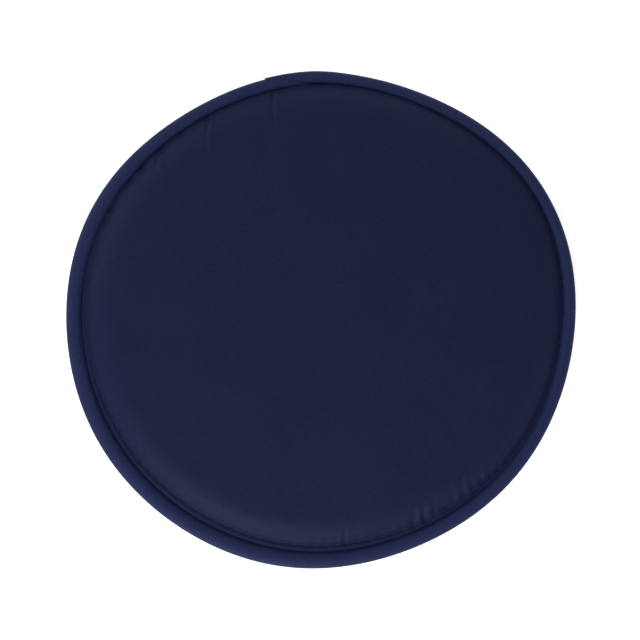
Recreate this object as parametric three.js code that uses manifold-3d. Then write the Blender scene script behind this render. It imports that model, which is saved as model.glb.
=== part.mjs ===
// A round piped seat pad: two cloth panels sewn together round a foam disc, with a corded piping in the
// seam. Millimetres, +Z up, resting on z = 0, with +Y towards the back, where the piping's ends meet.
// Section outlines are (radius, height) points, turned about +Z.
import * as THREE from "three";
import { mergeVertices } from "three/addons/utils/BufferGeometryUtils.js";
import Module from "manifold-3d";

// Fits
const GAP = 0.3; // clearance between pieces that touch
const SEGMENTS = 48; // steps round the pad

// Filling
const FOAM_THICKNESS = 20;
const FOAM_TOP_ROUNDING = 20; // how far in from the foam's side its upper edge is pressed round
const FOAM_BASE_ROUNDING = 12;
const TOP_WADDING = 5;
const BOTTOM_WADDING = 3;

// Cover
const CLOTH = 0.6;
const SEAM_RADIUS = 166.5; // where the panels are sewn to the piping
const SEAM_HEIGHT = 12.5;
const ALLOWANCE = 12; // cloth turned in beyond the seam
const TOP_LEDGE = 5.5; // the flat stitched rim of the top panel
const TOP_SHOULDER = 39.5; // from that rim to the flat of the pad
const BASE_LEDGE = 2.5; // the same rim on the bottom panel, which has no stitching to show
const BASE_SHOULDER = 26;

// Piping
const CORD_DIAMETER = 6.8;
const CORD_END_GAP = 1.6; // between the cord's two ends
const LAP_ANGLE = 98; // degrees from +X, where the piping's ends meet
const LAP_SLANT = 72; // degrees between the cut across the piping and the pad's radius there

// Sewing
const THREAD = 0.4;
const SEAM_STITCH_INSET = 1.5; // from the seam's edge to the hidden stitching
const TOP_STITCH_INSET = 3.4; // from the seam's edge to the visible stitching, on average
const TOP_STITCH_DRIFT = 1.2; // how far the visible stitching swings in and out on its way round
const TOP_STITCH_DRIFT_AT = 269; // degrees from +X, where it lies furthest in
const CLOSING_AT = 90; // degrees from +X, the middle of the stretch that is sewn shut by hand
const CLOSING_SPAN = 60;

// The rim isn't a true circle. Each lobe is [how many round the rim, swing in mm, degrees from +X]
const WANDER = [
  [2, 3.2, 14],
  [3, 1.0, 30],
  [5, 0.6, 25],
  [6, 0.6, 29],
];

// Steps along the rounded stretches of an outline
const SHOULDER_STEPS = 5;
const FOLD_STEPS = 3;
const CASING_STEPS = 9;
const THREAD_SIDES = 5;
const KNIFE_STEPS = 8;

// Worked out from the sizes above: heights, then the sewn edge, then the piping
const foamBase = CLOTH + GAP + BOTTOM_WADDING + GAP;
const foamTop = foamBase + FOAM_THICKNESS;
const padTop = foamTop + GAP + TOP_WADDING + GAP + CLOTH;
const lipFace = GAP / 2 + CLOTH; // from the seam's height to the outer face of either lip
const foldRoom = GAP + THREAD + GAP; // space inside a folded edge, where the seam's thread lies
const foldRadius = foldRoom / 2 + CLOTH;
const foldRise = lipFace + GAP + foldRadius; // from the seam's height to the middle of a fold
const topRim = SEAM_HEIGHT + foldRise + foldRadius; // the upper face of the top panel's rim
const baseRim = SEAM_HEIGHT - foldRise - foldRadius;
const foldMiddle = SEAM_RADIUS - foldRadius;
const foamRadius = SEAM_RADIUS - ALLOWANCE - GAP;
const casingInside = CORD_DIAMETER / 2 + GAP;
const casingOutside = casingInside + CLOTH;
const innerNeck = 180 - THREE.MathUtils.radToDeg(Math.asin(GAP / 2 / casingInside)); // where the lips part
const pipingRadius = foldMiddle + Math.sqrt((casingOutside + foldRadius + GAP) ** 2 - foldRise ** 2);

const wasm = await Module();
wasm.setup();

const radians = (degrees) => (degrees * Math.PI) / 180;
const point = (radius, height) => new THREE.Vector2(radius, height);

// Points on a stretch of an ellipse. Angles are in degrees, and 0 is straight out from the pad.
function curve(radius, height, wide, tall, from, to, steps) {
  return Array.from({ length: steps + 1 }, (_, i) => {
    const a = radians(from + ((to - from) * i) / steps);
    return point(radius + wide * Math.cos(a), height + tall * Math.sin(a));
  });
}

// The rim's wander moves every piece in or out in proportion, so their fits stay as they are.
function wandered(geometry) {
  const p = geometry.getAttribute("position");
  for (let i = 0; i < p.count; i++) {
    const angle = Math.atan2(p.getY(i), p.getX(i));
    const swing = WANDER.reduce((sum, [n, mm, at]) => sum + mm * Math.cos(n * (angle - radians(at))), 0);
    const scale = 1 + swing / SEAM_RADIUS;
    p.setXY(i, p.getX(i) * scale, p.getY(i) * scale);
  }
  return geometry;
}

const turned = (outline) => new THREE.LatheGeometry(outline, SEGMENTS).rotateX(Math.PI / 2);
const ring = (outline) => turned([...outline, outline[0].clone()]);

// A ring of thread, whose place may drift in and out by swing mm, furthest in at the angle given.
function threadRing(radius, height, swing = 0, at = 0) {
  const section = curve(radius, height, THREAD / 2, THREAD / 2, 0, 360, THREAD_SIDES).slice(0, -1);
  const geometry = ring(section);
  const p = geometry.getAttribute("position");
  for (let i = 0; i < p.count; i++) {
    const angle = Math.atan2(p.getY(i), p.getX(i));
    const scale = 1 - (swing * Math.cos(angle - radians(at))) / radius;
    p.setXY(i, p.getX(i) * scale, p.getY(i) * scale);
  }
  return geometry;
}

// A closed geometry as a manifold solid, and back.
function solid(geometry) {
  const bare = geometry.clone();
  bare.deleteAttribute("normal");
  bare.deleteAttribute("uv");
  const merged = mergeVertices(bare, 1e-4);
  return new wasm.Manifold(
    new wasm.Mesh({
      numProp: 3,
      vertProperties: new Float32Array(merged.getAttribute("position").array),
      triVerts: new Uint32Array(merged.index.array),
    }),
  );
}

function geometryOf(body) {
  const { vertProperties, triVerts } = body.getMesh();
  const geometry = new THREE.BufferGeometry();
  geometry.setAttribute("position", new THREE.BufferAttribute(vertProperties, 3));
  geometry.setIndex(new THREE.BufferAttribute(triVerts, 1));
  geometry.computeVertexNormals();
  return geometry;
}

// Cuts a ring of the piping across on a slant, so that it has two ends. The knife is a thin slab, sheared
// and then wrapped round the pad.
function lapped(geometry, inner, outer, width) {
  const slant = radians(LAP_SLANT);
  const reach = outer - inner + 2 * GAP;
  const knife = new THREE.BoxGeometry(reach, width / Math.cos(slant), 4 * casingOutside, KNIFE_STEPS);
  const p = knife.getAttribute("position");
  for (let i = 0; i < p.count; i++) {
    const radius = (inner + outer) / 2 + p.getX(i);
    const along = p.getY(i) + (radius - pipingRadius) * Math.tan(slant);
    const angle = radians(LAP_ANGLE) + along / pipingRadius;
    p.setXYZ(i, radius * Math.cos(angle), radius * Math.sin(angle), SEAM_HEIGHT + p.getZ(i));
  }
  return geometryOf(solid(geometry).subtract(solid(knife)));
}

function topPanel() {
  const from = SEAM_RADIUS - TOP_LEDGE - TOP_SHOULDER;
  const rise = padTop - topRim;
  const fold = SEAM_HEIGHT + foldRise;
  return turned([
    point(0, padTop - CLOTH),
    ...curve(from, topRim, TOP_SHOULDER - CLOTH, rise - CLOTH, 90, 0, SHOULDER_STEPS),
    point(SEAM_RADIUS - TOP_LEDGE - CLOTH, topRim - CLOTH),
    ...curve(foldMiddle, fold, foldRoom / 2, foldRoom / 2, 90, -90, FOLD_STEPS),
    point(SEAM_RADIUS - ALLOWANCE, fold - foldRoom / 2),
    point(SEAM_RADIUS - ALLOWANCE, fold - foldRadius),
    ...curve(foldMiddle, fold, foldRadius, foldRadius, -90, 90, FOLD_STEPS),
    ...curve(from, topRim, TOP_SHOULDER, rise, 0, 90, SHOULDER_STEPS),
    point(0, padTop),
  ]);
}

function bottomPanel() {
  const from = SEAM_RADIUS - BASE_LEDGE - BASE_SHOULDER;
  const fold = SEAM_HEIGHT - foldRise;
  return turned([
    point(0, 0),
    ...curve(from, baseRim, BASE_SHOULDER, baseRim, -90, 0, SHOULDER_STEPS),
    ...curve(foldMiddle, fold, foldRadius, foldRadius, -90, 90, FOLD_STEPS),
    point(SEAM_RADIUS - ALLOWANCE, fold + foldRadius),
    point(SEAM_RADIUS - ALLOWANCE, fold + foldRoom / 2),
    ...curve(foldMiddle, fold, foldRoom / 2, foldRoom / 2, 90, -90, FOLD_STEPS),
    point(SEAM_RADIUS - BASE_LEDGE - CLOTH, baseRim + CLOTH),
    ...curve(from, baseRim, BASE_SHOULDER - CLOTH, baseRim - CLOTH, 0, -90, SHOULDER_STEPS),
    point(0, CLOTH),
  ]);
}

function foamCore() {
  return turned([
    point(0, foamBase),
    ...curve(
      foamRadius - FOAM_BASE_ROUNDING, baseRim, FOAM_BASE_ROUNDING, baseRim - foamBase, -90, 0,
      SHOULDER_STEPS,
    ),
    ...curve(
      foamRadius - FOAM_TOP_ROUNDING, topRim, FOAM_TOP_ROUNDING, foamTop - topRim, 0, 90,
      SHOULDER_STEPS,
    ),
    point(0, foamTop),
  ]);
}

// The wadding lies between the foam and a panel, and ends where the panel's rim begins.
function topWadding() {
  const from = SEAM_RADIUS - TOP_LEDGE - TOP_SHOULDER;
  const skin = CLOTH + GAP;
  return turned([
    point(0, foamTop + GAP),
    ...curve(
      foamRadius - FOAM_TOP_ROUNDING, topRim, FOAM_TOP_ROUNDING + GAP, foamTop + GAP - topRim, 90, 0,
      SHOULDER_STEPS,
    ),
    ...curve(from, topRim, TOP_SHOULDER - skin, padTop - skin - topRim, 0, 90, SHOULDER_STEPS),
    point(0, padTop - skin),
  ]);
}

function bottomWadding() {
  const from = SEAM_RADIUS - BASE_LEDGE - BASE_SHOULDER;
  const skin = CLOTH + GAP;
  return turned([
    point(0, skin),
    ...curve(from, baseRim, BASE_SHOULDER - skin, baseRim - skin, -90, 0, SHOULDER_STEPS),
    ...curve(
      foamRadius - FOAM_BASE_ROUNDING, baseRim, FOAM_BASE_ROUNDING + GAP, baseRim - foamBase + GAP, 0, -90,
      SHOULDER_STEPS,
    ),
    point(0, foamBase - GAP),
  ]);
}

// A strip of cloth folded round the cord, whose two edges lie together as lips in the seam.
function pipingCasing() {
  const lipEnd = SEAM_RADIUS - ALLOWANCE;
  const outerNeck = 180 - THREE.MathUtils.radToDeg(Math.asin(lipFace / casingOutside));
  const outside = curve(
    pipingRadius, SEAM_HEIGHT, casingOutside, casingOutside, -outerNeck, outerNeck, CASING_STEPS,
  );
  const inside = curve(
    pipingRadius, SEAM_HEIGHT, casingInside, casingInside, innerNeck, -innerNeck, CASING_STEPS,
  );
  const casing = ring([
    point(lipEnd, SEAM_HEIGHT - GAP / 2),
    point(lipEnd, SEAM_HEIGHT - lipFace),
    ...outside,
    point(lipEnd, SEAM_HEIGHT + lipFace),
    point(lipEnd, SEAM_HEIGHT + GAP / 2),
    ...inside,
  ]);
  return lapped(casing, lipEnd, pipingRadius + casingOutside, GAP);
}

// The cord's corners face those of the casing's inside, so the clearance is the same all round.
function pipingCord() {
  const reach = CORD_DIAMETER / 2;
  const section = curve(pipingRadius, SEAM_HEIGHT, reach, reach, -innerNeck, innerNeck, CASING_STEPS);
  return lapped(ring(section), pipingRadius - reach, pipingRadius + reach, CORD_END_GAP);
}

// The hand stitching lies in the groove under the piping, against both the piping and the bottom panel.
function closingThread() {
  const toPiping = casingOutside + GAP + THREAD / 2;
  const toFold = foldRadius + GAP + THREAD / 2;
  const apart = Math.hypot(pipingRadius - foldMiddle, foldRise);
  const along = (apart ** 2 + toFold ** 2 - toPiping ** 2) / (2 * apart);
  const down = Math.sqrt(toFold ** 2 - along ** 2);
  const out = (pipingRadius - foldMiddle) / apart;
  const up = foldRise / apart;
  const radius = foldMiddle + along * out + down * up;
  const height = SEAM_HEIGHT - foldRise + along * up - down * out;

  class Arc extends THREE.Curve {
    getPoint(t, target = new THREE.Vector3()) {
      const a = radians(CLOSING_AT + (t - 0.5) * CLOSING_SPAN);
      return target.set(radius * Math.cos(a), radius * Math.sin(a), height);
    }
  }
  const section = new THREE.Shape(curve(0, 0, THREAD / 2, THREAD / 2, 0, 360, THREAD_SIDES).slice(0, -1));
  const steps = Math.round((SEGMENTS * CLOSING_SPAN) / 360);
  return new THREE.ExtrudeGeometry(section, { steps, bevelEnabled: false, extrudePath: new Arc() });
}

const NAVY = { color: 0x20243f, roughness: 0.85, metalness: 0 };
const PIPING_NAVY = { color: 0x272c4c, roughness: 0.85, metalness: 0 };
const DARK_THREAD = { color: 0x12152a, roughness: 0.7, metalness: 0 };
const FOAM_CREAM = { color: 0xe8dfc4, roughness: 1, metalness: 0 };
const WADDING_WHITE = { color: 0xf2f1ee, roughness: 1, metalness: 0 };
const CORD_WHITE = { color: 0xe9e6dd, roughness: 0.95, metalness: 0 };

const allowanceFace = lipFace + GAP + CLOTH; // from the seam's height to the inner face of an allowance
const threadOff = GAP + THREAD / 2; // from the cloth to the middle of a thread that lies on it
const seamStitch = SEAM_RADIUS - SEAM_STITCH_INSET;
const topStitch = SEAM_RADIUS - TOP_STITCH_INSET;
const bobbinHeight = SEAM_HEIGHT - allowanceFace - threadOff;
const drift = [TOP_STITCH_DRIFT, TOP_STITCH_DRIFT_AT];

const pad = new THREE.Group();

function add(name, geometry, look) {
  const mesh = new THREE.Mesh(wandered(geometry), new THREE.MeshStandardMaterial(look));
  mesh.name = name;
  pad.add(mesh);
}

add("bottom_panel", bottomPanel(), NAVY);
add("bottom_wadding", bottomWadding(), WADDING_WHITE);
add("foam_core", foamCore(), FOAM_CREAM);
add("top_wadding", topWadding(), WADDING_WHITE);
add("top_panel", topPanel(), NAVY);
add("piping_cord", pipingCord(), CORD_WHITE);
add("piping_casing", pipingCasing(), PIPING_NAVY);
add("seam_needle_thread", threadRing(seamStitch, SEAM_HEIGHT + allowanceFace + threadOff), DARK_THREAD);
add("seam_bobbin_thread", threadRing(seamStitch, bobbinHeight), DARK_THREAD);
add("top_stitch_needle_thread", threadRing(topStitch, topRim + threadOff, ...drift), DARK_THREAD);
add("top_stitch_bobbin_thread", threadRing(topStitch, bobbinHeight, ...drift), DARK_THREAD);
add("closing_thread", closingThread(), DARK_THREAD);

// The wander leaves the outline a little off the middle, so the pad is moved back over the origin.
const middle = new THREE.Box3().setFromObject(pad).getCenter(new THREE.Vector3());
pad.position.set(-middle.x, -middle.y, 0);

export default pad;
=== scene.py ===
"""A round piped seat pad of navy cotton, put together from its filling outwards."""

import math

import bmesh
import bpy
import numpy as np
from mathutils import Matrix, Vector, noise
from mathutils.bvhtree import BVHTree


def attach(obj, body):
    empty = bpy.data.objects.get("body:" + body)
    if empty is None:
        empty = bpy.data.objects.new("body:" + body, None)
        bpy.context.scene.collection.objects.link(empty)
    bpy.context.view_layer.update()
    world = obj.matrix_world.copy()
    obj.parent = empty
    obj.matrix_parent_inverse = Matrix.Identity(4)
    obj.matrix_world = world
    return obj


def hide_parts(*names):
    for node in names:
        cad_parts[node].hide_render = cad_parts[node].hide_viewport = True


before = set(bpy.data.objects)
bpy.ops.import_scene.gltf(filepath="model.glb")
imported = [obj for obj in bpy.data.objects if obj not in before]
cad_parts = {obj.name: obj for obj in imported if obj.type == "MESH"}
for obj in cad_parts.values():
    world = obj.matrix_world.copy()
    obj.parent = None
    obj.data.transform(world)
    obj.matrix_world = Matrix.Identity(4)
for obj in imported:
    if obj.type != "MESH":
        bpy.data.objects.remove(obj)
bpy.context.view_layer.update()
MM = 0.001

# Stuffed cover
# The shape that two rounds of cotton take when they are sewn together round a filling a little fuller than
# they are. Everything inside follows it, and so do the panels: it crowns in the middle and falls to the seam.
TURNS = 192  # steps round the filling
LOBES = 8  # waves enough to follow the pad's uneven rim


def waves(angle):
    """The sines and cosines that an uneven rim is made up of."""
    return np.stack([turn(k * angle) for k in range(LOBES + 1) for turn in (np.cos, np.sin)], -1)


def outline_of(name):
    """How far a ring-shaped node reaches from the middle, as a function of the angle."""
    place = np.array([v.co[:2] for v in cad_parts[name].data.vertices])
    angle = np.arctan2(place[:, 1], place[:, 0])
    reach = np.hypot(place[:, 0], place[:, 1])
    step = np.round(angle * 24 / math.pi).astype(int) % 48
    outer = [np.flatnonzero(step == s)[np.argmax(reach[step == s])] for s in np.unique(step)]
    fit = np.linalg.lstsq(waves(angle[outer]), reach[outer], rcond=None)[0]
    return lambda at: waves(np.asarray(at, float)) @ fit


rim = outline_of("top_panel")
SEAM_RADIUS = float(np.mean(rim(np.linspace(0, 2 * math.pi, 720, endpoint=False))))


def uneven(angle):
    """The pad's wander at an angle, as a share of its radius."""
    return rim(angle) / SEAM_RADIUS


def reach_of(name):
    """A node's least and greatest radius with the wander taken out, then its least and greatest height."""
    place = np.array([v.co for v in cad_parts[name].data.vertices])
    radius = np.hypot(place[:, 0], place[:, 1]) / uneven(np.arctan2(place[:, 1], place[:, 0]))
    return radius.min(), radius.max(), place[:, 2].min(), place[:, 2].max()


def arc(radius, height, wide, tall, start, stop, steps):
    """Points on part of an ellipse. 0 degrees points straight out from the pad."""
    angles = np.radians(np.linspace(start, stop, steps + 1))
    return [(radius + wide * math.cos(a), height + tall * math.sin(a)) for a in angles]


def turned(outline, steps, marks=None):
    """A bmesh of an outline of (radius, height) points, turned once round the pad's upright axis. A slice is
    spun, then doubled until it closes. Marks are kept on the points, as the layer called skin."""
    bm = bmesh.new()
    layer = bm.verts.layers.float.new("skin")
    points = [bm.verts.new((radius, 0, height)) for radius, height in outline]
    for point, mark in zip(points, marks or []):
        point[layer] = mark
    edges = [bm.edges.new(pair) for pair in zip(points, points[1:])]
    axis = {"cent": (0, 0, 0)}
    angle = 2 * math.pi / 32
    bmesh.ops.spin(bm, geom=points + edges, **axis, axis=(0, 0, 1), angle=angle, steps=steps // 32)
    while angle < 1.9 * math.pi:
        more = bmesh.ops.duplicate(bm, geom=bm.verts[:] + bm.edges[:] + bm.faces[:])["geom"]
        fresh = [v for v in more if isinstance(v, bmesh.types.BMVert)]
        bmesh.ops.rotate(bm, verts=fresh, **axis, matrix=Matrix.Rotation(angle, 3, "Z"))
        angle = 2 * angle
    bmesh.ops.remove_doubles(bm, verts=bm.verts, dist=0.005 * MM)
    bmesh.ops.recalc_face_normals(bm, faces=bm.faces)
    return bm


def wandered(place):
    """Moves points in or out as the pad's rim wanders."""
    share = uneven(np.arctan2(place[:, 1], place[:, 0]))
    return place * np.stack([share, share, np.ones(len(place))], 1)


CLOTH = 0.6 * MM
GAP = 0.3 * MM
FOLD = 1.1 * MM  # radius of a folded edge, outside
TOP_LEDGE = 5.5 * MM  # the flat stitched rim of the upper panel
BASE_LEDGE = 2.5 * MM
SHOULDER = 21 * MM  # width of the pad's soft edge, above
FOOT = 22 * MM  # and below
CROWN = 1.0 * MM  # how much higher the middle is than the start of the soft edge
SLACK = 3.0 * MM  # how much flatter the cover lies before its cloth swells, on either side
base_rim = reach_of("bottom_panel")[3]
_, _, fold_low, pad_top = reach_of("top_panel")
_, piping_reach, piping_low, piping_high = reach_of("piping_casing")
seam_height = (piping_low + piping_high) / 2
ledge = fold_low + 2 * FOLD  # height of the upper panel's stitched rim
base_ledge = base_rim - 2 * FOLD
shoulder_start = SEAM_RADIUS - TOP_LEDGE - SHOULDER
foot_start = SEAM_RADIUS - BASE_LEDGE - FOOT


def smooth_step(value, low, high):
    share = np.clip((value - low) / (high - low), 0, 1)
    return share * share * (3 - 2 * share)


def soft_edge(share):
    """The height of the soft upper edge, from 0 where it leaves the rim to 1 where it meets the middle."""
    return np.sin(math.pi / 2 * np.clip(share, 0, 1) ** 0.85)


def outer_height(inward, slack=0.0):
    """The height of the upper panel's plain outline, at a distance in from the seam."""
    return ledge + (pad_top - slack - CROWN - ledge) * soft_edge((inward - TOP_LEDGE) / SHOULDER)


def bag_outline(slack):
    """The cover's outline before it swells, from the middle of the top to the middle of the base."""
    middle = [
        (radius, pad_top - slack - CROWN * (radius / shoulder_start) ** 2)
        for radius in np.linspace(0, shoulder_start, 9)[:-1]
    ]
    inward = TOP_LEDGE + SHOULDER * np.linspace(1, 0.03, 20)
    shoulder = [(SEAM_RADIUS - i, float(outer_height(i, slack))) for i in inward]
    waist = (SEAM_RADIUS - 2 * MM, seam_height)
    foot = arc(foot_start, base_ledge, FOOT, base_ledge - slack, -8, -90, 12)
    return [*middle, *shoulder, waist, *foot, (0, slack)]


GIVE = 0.22  # share of the loose cloth's swelling that is left when foam fills the cover
MOST_SWELL = 3 * MM
VOXEL = 4.5 * MM
PRESSURE = 4
STIFFNESS = 60
SETTLING = 20  # steps in which the cloth comes to rest
HELD_RIM = 7 * MM  # width of the rim that the seam holds still


def mesh_of(made):
    """The mesh of an object as its modifiers leave it."""
    bpy.context.view_layer.update()
    seen = made.evaluated_get(bpy.context.evaluated_depsgraph_get())
    return bpy.data.meshes.new_from_object(seen)


def search_tree(mesh):
    """A mesh as a tree that finds where a line meets it."""
    return BVHTree.FromPolygons([v.co for v in mesh.vertices], [p.vertices for p in mesh.polygons])


def swollen_bag():
    """The stuffed cover as a search tree. Cloth under pressure, held along the seam."""
    mesh = bpy.data.meshes.new("bag")
    bm = turned(bag_outline(SLACK), TURNS)
    bm.to_mesh(mesh)
    bm.free()
    place = np.array([v.co for v in mesh.vertices])
    mesh.vertices.foreach_set("co", wandered(place).ravel())
    bag = bpy.data.objects.new("bag", mesh)
    bpy.context.scene.collection.objects.link(bag)
    remesh = bag.modifiers.new("even", "REMESH")
    remesh.mode = "VOXEL"
    remesh.voxel_size = VOXEL
    bag.data = mesh_of(bag)
    bag.modifiers.clear()
    rest = np.array([v.co for v in bag.data.vertices])
    outwards = np.array([v.normal for v in bag.data.vertices])
    held = bag.vertex_groups.new(name="seam")
    reach = np.hypot(rest[:, 0], rest[:, 1]) / uneven(np.arctan2(rest[:, 1], rest[:, 0]))
    pinned = np.flatnonzero(reach > SEAM_RADIUS - HELD_RIM)
    held.add([int(i) for i in pinned], 1.0, "REPLACE")
    cloth = bag.modifiers.new("cloth", "CLOTH")
    cloth.settings.quality = 6
    cloth.settings.use_pressure = True
    cloth.settings.uniform_pressure_force = PRESSURE
    cloth.settings.effector_weights.gravity = 0
    cloth.settings.vertex_group_mass = held.name
    cloth.settings.tension_stiffness = STIFFNESS
    cloth.settings.compression_stiffness = STIFFNESS
    cloth.settings.shrink_min = -0.01
    for step in range(1, SETTLING + 1):
        bpy.context.scene.frame_set(step)
    bag.data = mesh_of(bag)
    bag.modifiers.clear()
    bpy.context.scene.frame_set(1)
    moved = np.array([v.co for v in bag.data.vertices]) - rest
    swell = np.sum(moved * outwards, axis=1, keepdims=True)
    placed = rest + outwards * np.clip(GIVE * swell, 0, MOST_SWELL)
    placed[:, 2] = np.maximum(placed[:, 2], 0)
    bag.data.vertices.foreach_set("co", placed.ravel())
    smooth = bag.modifiers.new("smooth", "SUBSURF")
    smooth.levels = smooth.render_levels = 2
    tree = search_tree(mesh_of(bag))
    bpy.data.objects.remove(bag)
    return tree


bag = swollen_bag()


def skin_height(place, side):
    """The height of the stuffed bag over each point, seen from above (side 1) or from below (side -1)."""
    found = [bag.ray_cast(Vector((x, y, side)), Vector((0, 0, -side))) for x, y, _ in place]
    return np.array([hit[0].z if hit[0] else math.nan for hit in found])


STITCH_INSET = 1.0 * MM  # how far in from the seam the visible stitching runs, at the back
STITCH_STRAY = 6.9 * MM  # and how much further in at the front left
STRAY_TOWARDS = math.radians(240)


def stitch_inset(angle):
    """How far in from the seam the visible stitching runs. It strays inwards at the front left."""
    return STITCH_INSET + STITCH_STRAY * (0.5 + 0.5 * np.cos(angle - STRAY_TOWARDS)) ** 1.5


RISE_FROM_STITCH = 0.9 * MM  # how far inside the stitching the cover starts to rise


def cover_top(place):
    """The height of the stuffed cover at each point. It starts to rise just inside the stitching."""
    angle = np.arctan2(place[:, 1], place[:, 0])
    inward = SEAM_RADIUS - np.hypot(place[:, 0], place[:, 1]) / uneven(angle)
    earlier = TOP_LEDGE - stitch_inset(angle) - RISE_FROM_STITCH
    inside = inward + earlier * (1 - smooth_step(inward, 6 * MM, 34 * MM))
    share = (SEAM_RADIUS - inside) / np.maximum(SEAM_RADIUS - inward, MM)
    spot = np.where((inward < 40 * MM)[:, None], place * share[:, None], place)
    plain = outer_height(inside)
    height = skin_height(spot, 1)
    swell = np.where(np.isnan(height), 0, np.nan_to_num(height) - plain)
    return plain + smooth_step(inside, 5 * MM, 11 * MM) * swell


def base_height(inward):
    """The height of the lower panel's plain outline."""
    along = np.clip((inward - BASE_LEDGE) / FOOT, 0, 1)
    return base_ledge - base_ledge * np.sqrt(1 - (1 - along) ** 2)


def cover_base(place):
    """The height of the stuffed cover's underside at each point. Its middle rests flat."""
    inward = SEAM_RADIUS - np.hypot(place[:, 0], place[:, 1]) / uneven(np.arctan2(place[:, 1], place[:, 0]))
    plain = base_height(inward)
    height = skin_height(place, -1)
    swell = np.where(np.isnan(height), 0, np.nan_to_num(height) - plain)
    return plain + smooth_step(inward, 2.5 * MM, 9 * MM) * swell


# Foam core
# A disc cut from a sheet of cream polyurethane foam. It is a little smaller than the cover, and the
# stretched cloth presses its two edges round.
def piece(name, bm, material, slot, *nodes, move=wandered):
    """A finished piece of the pad, from a bmesh: placed, smooth, riding on the pad, in place of its nodes."""
    mesh = bpy.data.meshes.new(name)
    bm.to_mesh(mesh)
    bm.free()
    if move:
        place = np.empty(len(mesh.vertices) * 3)
        mesh.vertices.foreach_get("co", place)
        mesh.vertices.foreach_set("co", move(place.reshape(-1, 3)).ravel())
    mesh.polygons.foreach_set("use_smooth", [True] * len(mesh.polygons))
    mesh.materials.append(material)
    mesh.update()
    made = bpy.data.objects.new(name, mesh)
    bpy.context.scene.collection.objects.link(made)
    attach(made, "root")
    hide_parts(*nodes)
    return made


def linear(colour):
    """An sRGB hex colour as linear RGBA."""
    parts = [int(colour[i : i + 2], 16) / 255 for i in (1, 3, 5)]
    return [p / 12.92 if p <= 0.04045 else ((p + 0.055) / 1.055) ** 2.4 for p in parts] + [1]


def put(material, kind, inputs=None, **settings):
    """Adds a node, with its settings, and with a value or a link for each input named."""
    node = material.node_tree.nodes.new(kind)
    for name, value in settings.items():
        setattr(node, name, value)
    for name, value in (inputs or {}).items():
        if isinstance(value, bpy.types.NodeSocket):
            material.node_tree.links.new(value, node.inputs[name])
        else:
            node.inputs[name].default_value = value
    return node


def finish_of(name):
    """A new material, and its main shader."""
    material = bpy.data.materials.new(name)
    material.use_nodes = True
    return material, material.node_tree.nodes["Principled BSDF"]


def link(material, output, shader, socket):
    material.node_tree.links.new(output, shader.inputs[socket])


# Slabstock polyurethane foam, cut open: round cells of about a millimetre that leave small pits, which are
# painted darker as painted shade
def open_cell_foam():
    material, shader = finish_of("open_cell_polyurethane_foam")
    at = put(material, "ShaderNodeTexCoord").outputs["Object"]
    cells = put(material, "ShaderNodeTexVoronoi", {"Vector": at, "Scale": 1 / (1.1 * MM)})
    # Painted shade: the ramp draws the cells' pits darker than their walls.
    ramp = put(material, "ShaderNodeValToRGB", {"Fac": cells.outputs["Distance"]})
    ramp.color_ramp.elements[0].color = linear("#c9bd9d")
    ramp.color_ramp.elements[1].color = linear("#efe6cc")
    bump = put(material, "ShaderNodeBump", {"Height": cells.outputs["Distance"], "Distance": 0.3 * MM})
    link(material, ramp.outputs["Color"], shader, "Base Color")
    link(material, bump.outputs["Normal"], shader, "Normal")
    shader.inputs["Roughness"].default_value = 0.95
    shader.inputs["Specular IOR Level"].default_value = 0.15
    return material


_, foam_radius, foam_base, foam_top = reach_of("foam_core")
FOAM_TOP_ROUND = 20 * MM
FOAM_BASE_ROUND = 12 * MM
foam_edge = foam_radius - FOAM_TOP_ROUND
foam_foot = foam_radius - FOAM_BASE_ROUND
foam_outline = [
    (0, foam_base),
    *arc(foam_foot, base_ledge, FOAM_BASE_ROUND, base_ledge - foam_base, -90, 0, 10),
    *arc(foam_edge, ledge, FOAM_TOP_ROUND, foam_top - ledge, 0, 90, 14),
    (0, foam_top),
]
piece("foam_core", turned(foam_outline, TURNS), open_cell_foam(), "foam", "foam_core")

# Wadding
# Two layers of white polyester wadding, laid over and under the foam and tucked in at its edge. They fill
# the room between the foam's edge and the cloth, and are pressed against it.
WADDING_REST = 0.8 * MM  # how far the wadding lies under the cloth's inner side
WADDING_EDGE = 8.4 * MM  # how far short of the seam it stops


# Polyester fibre wadding: matt white, with fine crimped fibres lying every way
def fibre_wadding():
    material, shader = finish_of("polyester_fibre_wadding")
    at = put(material, "ShaderNodeTexCoord").outputs["Object"]
    crimp = {"Vector": at, "Scale": 1 / (2.5 * MM), "Distortion": 4, "Detail": 6}
    fibre = put(material, "ShaderNodeTexNoise", crimp)
    ramp = put(material, "ShaderNodeValToRGB", {"Fac": fibre.outputs["Fac"]})
    ramp.color_ramp.elements[0].color = linear("#dcdad4")
    ramp.color_ramp.elements[1].color = linear("#fbfaf7")
    bump = put(material, "ShaderNodeBump", {"Height": fibre.outputs["Fac"], "Distance": 0.8 * MM})
    link(material, ramp.outputs["Color"], shader, "Base Color")
    link(material, bump.outputs["Normal"], shader, "Normal")
    shader.inputs["Roughness"].default_value = 1
    shader.inputs["Sheen Weight"].default_value = 0.3
    return material


def against_cover(place):
    """Presses the wadding's outer side, drawn at the height of the pad's top or base, against the cover."""
    made = wandered(place)
    above = cover_top(made) - CLOTH - WADDING_REST
    below = cover_base(made) + CLOTH + WADDING_REST
    made[:, 2] = np.where(place[:, 2] > pad_top - MM, above, made[:, 2])
    made[:, 2] = np.where(place[:, 2] < CLOTH, below, made[:, 2])
    return made


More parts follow.
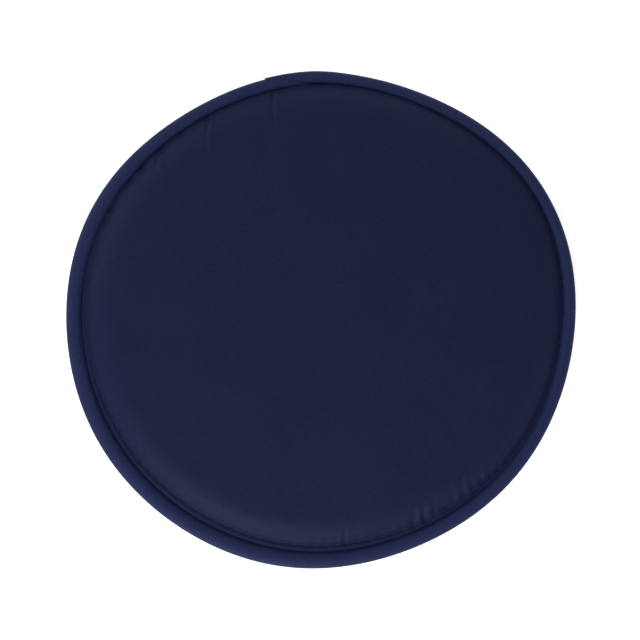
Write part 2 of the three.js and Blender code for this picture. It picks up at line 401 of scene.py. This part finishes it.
wadding = fibre_wadding()
spread = np.linspace(0, SEAM_RADIUS - WADDING_EDGE, 30)
over_foam = [
    *[(radius, pad_top) for radius in spread],
    *arc(foam_edge, ledge, FOAM_TOP_ROUND + GAP, foam_top + GAP - ledge, 0, 90, 14),
    (0, foam_top + GAP),
]
under_foam = [
    (0, foam_base - GAP),
    *arc(foam_foot, base_ledge, FOAM_BASE_ROUND + GAP, base_ledge - foam_base + GAP, -90, 0, 10),
    *[(radius, 0) for radius in spread[::-1]],
]
for name, outline in (("top_wadding", over_foam), ("bottom_wadding", under_foam)):
    piece(name, turned(outline, TURNS), wadding, "wadding", name, move=against_cover)


# Panels
# Two rounds of closely woven navy cotton, cut a little large. Each edge is turned under at the seam. The
# upper panel is stitched down flat again just inside its edge, and the stitches pull small creases in.
AROUND = 1024  # steps round a panel, a millimetre apart at the rim
ALLOWANCE = 12 * MM
STITCH = 8.3 * MM  # length of one stitch
THREAD_RADIUS = 0.2 * MM
stitches = round(2 * math.pi * SEAM_RADIUS / STITCH)

# Each long crease is [where it starts, which way it runs, how long it is, how deep]. Degrees, mm.
LONG_CREASES = [
    [102, -86, 26, 1.7],
    [119, -92, 27, 1.35],
    [134, -93, 19, 1.1],
    [152, -60, 9, 0.5],
    [204, 10, 11, 0.45],
    [276, 88, 14, 0.7],
    [297, 92, 13, 0.5],
]
GATHERED_FROM = 286  # degrees between which the stitches gather the cloth most
GATHERED_TO = 327
TIGHT_STITCHES = [83, 100, 120, 127, 133, 140, 144, 152, 155, 304, 312]  # degrees, where the cloth dips
TIGHT_DIP = 1.7 * MM
CHANNEL_DEPTH = 0.13 * MM  # how deep the stitching presses the cloth down
CHANNEL_WIDTH = 0.6 * MM
HOLE_DEPTH = 0.34 * MM  # and how much deeper at a needle hole
HOLE_WIDTH = 1.1 * MM
CREASE_WIDTH = 1.3 * MM
RIPPLE = 0.22 * MM  # height of the broad unevenness of the filling
RIPPLE_LENGTH = 45 * MM


def polar(degrees, radius):
    """A point on the pad, where radius is without the wander."""
    angle = math.radians(degrees)
    reach = radius * float(uneven(angle))
    return np.array([reach * math.cos(angle), reach * math.sin(angle)])


def crease(place, start, heading, length, depth, width):
    """How far a crease moves each point: a narrow valley with a fuller lip beside it, fading as it runs."""
    run = np.array([math.cos(math.radians(heading)), math.sin(math.radians(heading))])
    off = place[:, :2] - start
    along = off @ run / length
    across = (off @ np.array([-run[1], run[0]])) / width
    fade = smooth_step(along, -0.12, 0.06) * (1 - smooth_step(along, 0.15, 1.0))
    valley = np.exp(-(across**2))
    lip = 0.75 * np.exp(-(((across - 2.0) / 1.4) ** 2)) + 0.3 * np.exp(-(((across + 2.0) / 1.4) ** 2))
    return depth * fade * (lip - valley)


def needle_phase(angle):
    """How far along its stitch a point is, from 0 to 1, where 0 is the needle's hole."""
    return (angle * stitches / (2 * math.pi)) % 1


LEAN = 0.3 * MM  # how far in over the panel's edge the piping leans, at the back
MORE_LEAN = 3.0 * MM  # and how much further at the front left
LEAN_TOWARDS = math.radians(228)


def roll(angle):
    """How far in over the panel's edge the piping leans. It leans most at the front left."""
    return LEAN + MORE_LEAN * (0.5 + 0.5 * np.cos(angle - LEAN_TOWARDS)) ** 1.3


def upper_panel(place, skin):
    """Shapes the upper panel's points. Skin is 1 on the panel itself and 0 on the turned-in edge."""
    angle = np.arctan2(place[:, 1], place[:, 0])
    inward = SEAM_RADIUS - np.hypot(place[:, 0], place[:, 1])
    made = wandered(place)
    from_stitch = stitch_inset(angle) - inward
    phase = needle_phase(angle)
    hole = np.minimum(phase, 1 - phase) * STITCH
    rise = skin * (cover_top(made) - outer_height(inward))
    sunk = np.exp(-((from_stitch / CHANNEL_WIDTH) ** 2))
    rise -= skin * sunk * (CHANNEL_DEPTH + HOLE_DEPTH * np.exp(-((hole / HOLE_WIDTH) ** 2)))
    from_piping = inward - roll(angle)
    falls = (0.3 + 0.35 * skin) * (1 + 0.5 * roll(angle) / MM)
    rise -= falls * MM * (1 - smooth_step(from_piping, -0.8 * MM, 2.5 * MM))
    depth = 0.13 + 0.10 * np.cos(angle - math.radians(235)) + 0.10 * np.cos(5.3 * angle + 1)
    puff = (0.5 - 0.5 * np.cos(2 * math.pi * phase)) - 0.5
    beyond = smooth_step(-from_stitch, 0.4 * MM, 2.5 * MM) * (1 - smooth_step(-from_stitch, 3 * MM, 9 * MM))
    rise += skin * puff * np.maximum(depth, 0.04) * beyond * MM
    for at in TIGHT_STITCHES:
        spot = polar(at, SEAM_RADIUS - float(stitch_inset(math.radians(at))) - 1.6 * MM)
        off = made[:, :2] - spot
        way = spot / np.hypot(*spot)
        near = (off @ way / (2.0 * MM)) ** 2 + (off @ np.array([-way[1], way[0]]) / (3.2 * MM)) ** 2
        rise -= skin * TIGHT_DIP * np.exp(-near)
    for start, heading, length, deep in LONG_CREASES:
        first = polar(start, SEAM_RADIUS - float(stitch_inset(math.radians(start))) - 1.0 * MM)
        rise += skin * crease(made, first, heading, length * MM, deep * MM, CREASE_WIDTH)
    for hole_number in range(stitches):
        at = hole_number * 360 / stitches
        if not GATHERED_FROM <= at <= GATHERED_TO or noise.random() < 0.3:
            continue
        first = polar(at, SEAM_RADIUS - float(stitch_inset(math.radians(at))) - 0.8 * MM)
        length = (10 + 15 * noise.random()) * MM
        deep = (0.4 + 0.7 * noise.random()) * MM
        width = (1.2 + 0.9 * noise.random()) * MM
        rise += skin * crease(made, first, 93 + (at - 300) * 0.5, length, deep, width)
    broad = np.array([noise.noise(Vector((x, y, 0)) / RIPPLE_LENGTH) for x, y, _ in made])
    rise += skin * broad * RIPPLE * smooth_step(inward, 10 * MM, 40 * MM)
    made[:, 2] = place[:, 2] + rise
    return made


# Tightly woven cotton, dyed navy: matt, with an even grain of crossing threads too fine to tell apart
# from above, a little dust-soft fuzz, and slight unevenness from thick and thin yarn
def woven_cotton(name, deep, pale, at):
    material, shader = finish_of(name)
    thread = 0.42 * MM  # from one yarn to the next
    scale = 2 * math.pi / 20 / (2 * thread)
    warp = put(material, "ShaderNodeTexWave", {"Vector": at(material), "Scale": scale}, bands_direction="X")
    weft = put(material, "ShaderNodeTexWave", {"Vector": at(material), "Scale": scale}, bands_direction="Y")
    crossed = {0: warp.outputs["Fac"], 1: weft.outputs["Fac"]}
    weave = put(material, "ShaderNodeMath", crossed, operation="MULTIPLY")
    slub = put(material, "ShaderNodeTexNoise", {"Vector": at(material), "Scale": 1 / (2.2 * MM), "Detail": 5})
    worn = put(material, "ShaderNodeTexNoise", {"Vector": at(material), "Scale": 1 / (38 * MM), "Detail": 3})
    faint = put(material, "ShaderNodeMath", {0: worn.outputs["Fac"], 1: 0.25}, operation="MULTIPLY")
    tone = put(material, "ShaderNodeMath", {0: slub.outputs["Fac"], 1: faint.outputs[0]}, operation="ADD")
    share = put(
        material,
        "ShaderNodeMapRange",
        {"Value": tone.outputs[0], "From Min": 0.3, "From Max": 0.95, "To Min": 0.0, "To Max": 1.0},
    )
    colour = put(
        material,
        "ShaderNodeMix",
        {0: share.outputs["Result"], 6: linear(deep), 7: linear(pale)},
        data_type="RGBA",
    )
    woven = {"Height": weave.outputs[0], "Distance": 0.06 * MM, "Strength": 0.6}
    grain = put(material, "ShaderNodeBump", woven)
    thick_yarn = {"Height": slub.outputs["Fac"], "Distance": 0.12 * MM, "Strength": 0.5}
    lumps = put(material, "ShaderNodeBump", {**thick_yarn, "Normal": grain.outputs["Normal"]})
    link(material, colour.outputs[2], shader, "Base Color")
    link(material, lumps.outputs["Normal"], shader, "Normal")
    shader.inputs["Roughness"].default_value = 0.62
    shader.inputs["Specular IOR Level"].default_value = 0.09
    shader.inputs["Sheen Weight"].default_value = 0.03
    shader.inputs["Sheen Roughness"].default_value = 0.5
    shader.inputs["Sheen Tint"].default_value = linear("#7f8bc4")
    return material


def by_place(material):
    return put(material, "ShaderNodeTexCoord").outputs["Object"]


panel_cloth = woven_cotton("woven_cotton_navy", "#111832", "#151c3c", by_place)

fold = ledge - FOLD
fold_middle = SEAM_RADIUS - FOLD
fold_room = FOLD - CLOTH
hem = SEAM_RADIUS - ALLOWANCE
inward_steps = [
    *np.linspace(SEAM_RADIUS, 46 * MM, 12),
    *np.linspace(41 * MM, 30 * MM, 6),
    *np.linspace(28.8 * MM, 12 * MM, 17),
    *np.linspace(11.3 * MM, 1.9 * MM, 16),
]
inner_steps = [*np.linspace(4 * MM, 34 * MM, 9), *np.linspace(50 * MM, SEAM_RADIUS, 5)]
upper_outline = [
    *[(SEAM_RADIUS - i, float(outer_height(np.float64(i)))) for i in inward_steps],
    *arc(fold_middle, fold, FOLD, FOLD, 90, -90, 8),
    (hem, fold - FOLD),
    (hem, fold - fold_room),
    *arc(fold_middle, fold, fold_room, fold_room, -90, 90, 5),
    *[(SEAM_RADIUS - i, float(outer_height(np.float64(i))) - CLOTH) for i in inner_steps],
]
outer_points = len(inward_steps)
inner_points = len(inner_steps)


def on_panel(bm_outline, outer, inner):
    """For each point of a panel's outline, 1 on the panel itself and 0 on its turned-in edge."""
    middle = len(bm_outline) - outer - inner
    return [1.0] * outer + [0.0] * middle + [1.0] * inner


def panel(name, outline, outer, inner, shape):
    """A panel of the cover, from its outline, with its own way of being shaped."""
    bm = turned(outline, AROUND, on_panel(outline, outer, inner))
    mark = bm.verts.layers.float["skin"]
    skin = np.array([v[mark] for v in bm.verts])
    made = piece(name, bm, panel_cloth, "cover_cloth", name, move=lambda place: shape(place, skin))
    return made


noise.seed_set(7)
top = panel("top_panel", upper_outline, outer_points, inner_points, upper_panel)


PUCKER = 0.16 * MM


def lower_panel(place, skin):
    """Shapes the lower panel's points. It rests flat, and puckers a little where the seam gathers it."""
    angle = np.arctan2(place[:, 1], place[:, 0])
    inward = SEAM_RADIUS - np.hypot(place[:, 0], place[:, 1])
    made = wandered(place)
    wave = np.cos(angle * stitches / 2) + 0.6 * np.cos(angle * 41 + 1.3)
    near = smooth_step(inward, 1.5 * MM, 5 * MM) * (1 - smooth_step(inward, 6 * MM, 20 * MM))
    made[:, 2] = place[:, 2] + skin * (cover_base(made) - base_height(inward) + near * wave * PUCKER)
    made[:, 2] = np.maximum(made[:, 2], np.where(place[:, 2] < CLOTH / 2, 0, 0.2 * MM))
    return made


base_fold = base_ledge + FOLD
lower_outline = [
    *[(SEAM_RADIUS - i, float(base_height(np.float64(i)))) for i in inward_steps],
    *arc(fold_middle, base_fold, FOLD, FOLD, -90, 90, 8),
    (hem, base_fold + FOLD),
    (hem, base_fold + fold_room),
    *arc(fold_middle, base_fold, fold_room, fold_room, 90, -90, 5),
    *[(SEAM_RADIUS - i, float(base_height(np.float64(i))) + CLOTH) for i in inner_steps],
]
panel("bottom_panel", lower_outline, outer_points, inner_points, lower_panel)


# Piping
# A strip of the same cotton cut on the slant, folded round a soft cotton cord, with its edges caught in
# the seam. Its ends cross at the back: one rides over on the outside and tapers off, and the other slips
# under it into the seam.
LAP_START = 83  # degrees, where the end that lies underneath begins
LAP_END = 103  # and where the end that lies on top runs out
SIDES = 22  # flat sides round the piping
LIFT = 1.0 * MM  # how far the piping rides up above the seam
TUCK = 5.2 * MM  # how far inwards the under end slips
TUCK_DROP = 2.6 * MM
TUCK_THINNING = 0.5
END_THINNING = 0.68  # how much the upper end is thinned where it tapers off
END_RISE = 1.7 * MM
FLATTER_AT = 72  # degrees, where the rim is a little flattened
FLATTENING = 0.6 * MM
DRAWN_IN = 0.5 * MM  # half of how far the sewing draws the rim in, most at the back
DRAWN_TOWARDS = math.radians(100)
piping_radius = (piping_high - piping_low) / 2
piping_line = piping_reach - piping_radius
cord_radius = (reach_of("piping_cord")[3] - reach_of("piping_cord")[2]) / 2


def tube(centres, sections, closed=False):
    """A grid rolled into a tube along a line. A section is a list of (out, up) points. The points keep how
    far along the line and how far round it they are, as the layers called along and around."""
    line = np.array([*centres, centres[0]] if closed else centres)
    sections = np.array([*sections, sections[0]] if closed else sections)
    sections = np.concatenate([sections, sections[:, :1]], 1)
    rows, columns = sections.shape[:2]
    way = np.gradient(line, axis=0)
    if closed:
        way[0] = way[-1] = line[1] - line[-2]
    out = np.cross(way, (0, 0, 1))
    out /= np.linalg.norm(out, axis=1, keepdims=True)
    up = np.cross(out, way)
    up /= np.linalg.norm(up, axis=1, keepdims=True)
    spots = line[:, None] + sections[..., :1] * out[:, None] + sections[..., 1:] * up[:, None]
    travelled = np.concatenate([[0], np.cumsum(np.linalg.norm(np.diff(line, axis=0), axis=1))])
    bm = bmesh.new()
    along = bm.verts.layers.float.new("along")
    around = bm.verts.layers.float.new("around")
    bmesh.ops.create_grid(bm, x_segments=rows - 1, y_segments=columns - 1, size=1)
    for vert in bm.verts:
        i = round((vert.co.x + 1) / 2 * (rows - 1))
        k = round((vert.co.y + 1) / 2 * (columns - 1))
        vert.co = spots[i, k]
        vert[along] = travelled[i]
        vert[around] = k / (columns - 1)
    bmesh.ops.remove_doubles(bm, verts=bm.verts, dist=0.001 * MM)
    if not closed:
        bmesh.ops.holes_fill(bm, edges=bm.edges[:], sides=0)
    bmesh.ops.recalc_face_normals(bm, faces=bm.faces)
    return bm


def circle(radius, sides, wider=0.0):
    """A round section, or one that is wider than it is tall."""
    angles = np.linspace(0, 2 * math.pi, sides, endpoint=False) + math.pi
    return [((radius + wider) * math.cos(a), radius * math.sin(a)) for a in angles]


def piping_place(degrees):
    """Where the middle of the piping runs, how thick it is and how far it leans over the panel, at a turn
    from LAP_START to LAP_END + 360."""
    angle = math.radians(degrees)
    into = 1 - float(smooth_step(degrees, LAP_START, LAP_END + 1))
    over = float(smooth_step(degrees, 360 + LAP_START - 3, 360 + LAP_START + 10))
    tapers = float(smooth_step(degrees, 360 + LAP_START + 7, 360 + LAP_END))
    lean = float(roll(angle)) * (1 - into) * (1 - tapers)
    flattened = FLATTENING * math.exp(-(((degrees % 360 - FLATTER_AT) / 16) ** 2))
    drawn = DRAWN_IN * (1 + math.cos(angle - DRAWN_TOWARDS)) + flattened
    thick = 1 - TUCK_THINNING * into - END_THINNING * tapers + 0.03 * math.cos(7 * angle)
    rides_out = (0.9 * over - 0.4 * tapers) * MM + END_THINNING * tapers * piping_radius
    radius = piping_line - lean / 2 + rides_out - drawn - TUCK * into
    height = seam_height + LIFT - TUCK_DROP * into + 0.4 * MM * over + END_RISE * tapers
    return radius, height, thick, lean / 2


sweep = np.linspace(LAP_START, LAP_END + 360, 1000)
places = [piping_place(t) for t in sweep]
centres = [np.array([*polar(t, radius), height]) for t, (radius, height, _, _) in zip(sweep, places)]
casing_bm = tube(centres, [circle(piping_radius * thick, SIDES, wider) for _, _, thick, wider in places])


def by_strip(material):
    """Runs a pattern along the strip, at 45 degrees to it, because the strip was cut on the slant."""
    along = put(material, "ShaderNodeAttribute", attribute_name="along").outputs["Fac"]
    around = put(material, "ShaderNodeAttribute", attribute_name="around").outputs["Fac"]
    girth = put(material, "ShaderNodeMath", {0: around, 1: 2 * math.pi * piping_radius}, operation="MULTIPLY")
    joined = put(material, "ShaderNodeCombineXYZ", {"X": along, "Y": girth.outputs[0]})
    return put(
        material, "ShaderNodeMapping", {"Vector": joined.outputs[0], "Rotation": (0, 0, math.radians(45))}
    ).outputs[0]


# The piping is the same cotton as the panels, but its colours are painted lighter: painted sheen for the
# light its rounded sides catch from the bright surroundings.
piping_cloth = woven_cotton("woven_cotton_navy_cut_on_the_slant_painted_sheen", "#1a2041", "#21294d", by_strip)
piece("piping_casing", casing_bm, piping_cloth, "piping_cloth", "piping_casing", move=None)

# Filler cord
# Loosely twisted white cotton cord, laid into the strip before it is stitched. It stops short of the
# casing's two ends, so that they can be pressed flat under each other.


# Cotton filler cord: matt off-white, with twisted strands that show as slanting ridges, and painted shade in
# the grooves between them. The same twist, much finer, makes the sewing thread
def twisted_cord(name, colour, lay, depth):
    material, shader = finish_of(name)
    along = put(material, "ShaderNodeAttribute", attribute_name="along").outputs["Fac"]
    around = put(material, "ShaderNodeAttribute", attribute_name="around").outputs["Fac"]
    turns = put(material, "ShaderNodeMath", {0: along, 1: 1 / lay}, operation="MULTIPLY")
    both = put(material, "ShaderNodeMath", {0: turns.outputs[0], 1: around}, operation="ADD")
    strand = put(material, "ShaderNodeMath", {0: both.outputs[0], 1: 6 * math.pi}, operation="MULTIPLY")
    ridge = put(material, "ShaderNodeMath", {0: strand.outputs[0]}, operation="SINE")
    bump = put(material, "ShaderNodeBump", {"Height": ridge.outputs[0], "Distance": depth, "Strength": 0.8})
    from_dark = {"Value": ridge.outputs[0], "From Min": -1.0, "From Max": 1.0}
    share = put(material, "ShaderNodeMapRange", from_dark)
    # Painted shade: the grooves between the strands, where the ridge is lowest, are drawn at 0.6 of the
    # colour.
    dark = [c * 0.6 for c in linear(colour)[:3]] + [1]
    shade = put(
        material,
        "ShaderNodeMix",
        {0: share.outputs["Result"], 6: dark, 7: linear(colour)},
        data_type="RGBA",
    )
    link(material, shade.outputs[2], shader, "Base Color")
    link(material, bump.outputs["Normal"], shader, "Normal")
    shader.inputs["Roughness"].default_value = 0.8
    shader.inputs["Specular IOR Level"].default_value = 0.12
    return material


inset = slice(12, -12)
cord_sections = [circle(cord_radius * min(1, thick), sides=12) for _, _, thick, _ in places]
cord_bm = tube(centres[inset][::2], cord_sections[inset][::2])
cord_look = twisted_cord("cotton_filler_cord", "#e9e6dd", 14 * MM, 0.5 * MM)
piece("piping_cord", cord_bm, cord_look, "filler_cord", "piping_cord", move=None)

# Sewing
# Navy polyester thread. One lock stitch joins the panels and the piping out of sight, another holds the
# turned edge of the upper panel down. The last stretch at the back is closed by hand from below.

# Spun polyester thread: fine and matt, dyed a little darker than the cloth
thread_look = twisted_cord("polyester_sewing_thread", "#101427", 1.0 * MM, 0.03 * MM)
STEPS = 8  # points on each stitch
LAID_OVER = 0.06 * MM  # how far above the cloth the middle of the visible thread lies
panel_tree = search_tree(top.data)


def sewn_ring(name, radius_at, height_at, dip, thickness):
    """A ring of machine stitching, which goes down at each needle hole."""
    turn = np.linspace(0, 2 * math.pi, stitches * STEPS, endpoint=False)
    line = []
    for angle in turn:
        phase = float(needle_phase(angle))
        deep = math.exp(-((min(phase, 1 - phase) * STITCH / (0.8 * MM)) ** 2))
        reach = radius_at(angle) + (phase - 0.5) * 0.5 * MM
        x, y = reach * math.cos(angle), reach * math.sin(angle)
        line.append(np.array([x, y, height_at(x, y) - dip * deep]))
    bm = tube(line, [circle(thickness, 6)] * len(line), closed=True)
    return piece(name, bm, thread_look, "sewing_thread", name, move=None)


def on_top(x, y):
    hit = panel_tree.ray_cast(Vector((x, y, 1)), Vector((0, 0, -1)))[0]
    return hit.z + LAID_OVER


def thread_line(name):
    """The line that a hidden ring of thread follows: its radius at an angle, and its height."""
    line = outline_of(name)
    _, _, low, high = reach_of(name)
    return lambda angle: float(line(angle)) - THREAD_RADIUS, lambda x, y: (low + high) / 2


sewn_ring(
    "top_stitch_needle_thread",
    lambda a: (SEAM_RADIUS - float(stitch_inset(a))) * float(uneven(a)),
    on_top,
    0.9 * MM,
    0.19 * MM,
)
for hidden in ("seam_needle_thread", "seam_bobbin_thread", "top_stitch_bobbin_thread"):
    sewn_ring(hidden, *thread_line(hidden), 0.15 * MM, THREAD_RADIUS)

closing_low, closing_high, closing_base, closing_top = reach_of("closing_thread")
closing_radius = (closing_low + closing_high) / 2
closing_height = (closing_base + closing_top) / 2
SLIPS = 4.2  # how fast the hand stitches swing from one panel to the other, in radians a degree


def slip_stitch(degrees):
    """A point of the hand stitching, which swings in and out and up and down as it goes."""
    radius = closing_radius + 0.5 * MM * math.sin(degrees * SLIPS)
    height = closing_height + 0.4 * MM * math.sin(degrees * SLIPS + 1)
    return np.array([*polar(degrees, radius), height])


slip_line = [slip_stitch(degrees) for degrees in np.linspace(60, 120, 241)]
slip_bm = tube(slip_line, [circle(THREAD_RADIUS, 6)] * len(slip_line))
piece("closing_thread", slip_bm, thread_look, "sewing_thread", "closing_thread", move=None)

# Floor, light and camera
# A white table and a camera straight above. Four broad soft lights stand low round the pad, the
# strongest at the front left, so that they glance off its soft edge.
FLOOR = 12.0
FLOOR_DROP = 0.1 * MM  # keeps the table's face apart from the pad's
floor_mesh = bpy.data.meshes.new("floor")
floor_bm = bmesh.new()
bmesh.ops.create_grid(floor_bm, x_segments=1, y_segments=1, size=FLOOR / 2)
bmesh.ops.translate(floor_bm, verts=floor_bm.verts, vec=(0, 0, -FLOOR_DROP))
floor_bm.to_mesh(floor_mesh)
floor_bm.free()
floor = bpy.data.objects.new("floor", floor_mesh)
bpy.context.scene.collection.objects.link(floor)

# Matt white paper, lit so brightly that it shows as almost pure white
white_paper, paper_shader = finish_of("matt_white_paper")
paper_shader.inputs["Base Color"].default_value = linear("#fafafa")
paper_shader.inputs["Roughness"].default_value = 0.9
paper_shader.inputs["Specular IOR Level"].default_value = 0.1
paper_shader.inputs["Emission Color"].default_value = (1, 1, 1, 1)
paper_shader.inputs["Emission Strength"].default_value = 0.55
floor_mesh.materials.append(white_paper)

world = bpy.data.worlds.new("studio")
bpy.context.scene.world = world
world.use_nodes = True
world.node_tree.nodes["Background"].inputs["Color"].default_value = (1, 1, 1, 1)
world.node_tree.nodes["Background"].inputs["Strength"].default_value = 0.3


def softbox(name, azimuth, elevation, distance, size, watts):
    """A square soft light aimed at the middle of the pad."""
    light = bpy.data.lights.new(name, "AREA")
    light.size = size
    light.energy = watts
    box = bpy.data.objects.new(name, light)
    bpy.context.scene.collection.objects.link(box)
    a, e = math.radians(azimuth), math.radians(elevation)
    way = Vector((math.cos(a) * math.cos(e), math.sin(a) * math.cos(e), math.sin(e)))
    box.location = way * distance
    box.rotation_euler = way.to_track_quat("Z", "Y").to_euler()


softbox("front_left_softbox", 250, 28, 1.5, 1.0, 22)
softbox("left_softbox", 150, 28, 1.6, 1.0, 10.5)
softbox("back_softbox", 78, 28, 1.6, 1.0, 8)
softbox("right_softbox", 345, 26, 1.6, 1.0, 4.5)

VIEW_WIDTH = 444 * MM
LENS = 85
ASIDE = 0.3 * MM  # how far the camera stands off the pad's middle
camera_data = bpy.data.cameras.new("camera")
camera_data.lens = LENS
camera_data.clip_end = 50
camera = bpy.data.objects.new("camera", camera_data)
bpy.context.scene.collection.objects.link(camera)
camera.location = (-ASIDE, -ASIDE, seam_height + VIEW_WIDTH * LENS / camera_data.sensor_width)
bpy.context.scene.camera = camera
bpy.context.scene.view_settings.view_transform = "Standard"
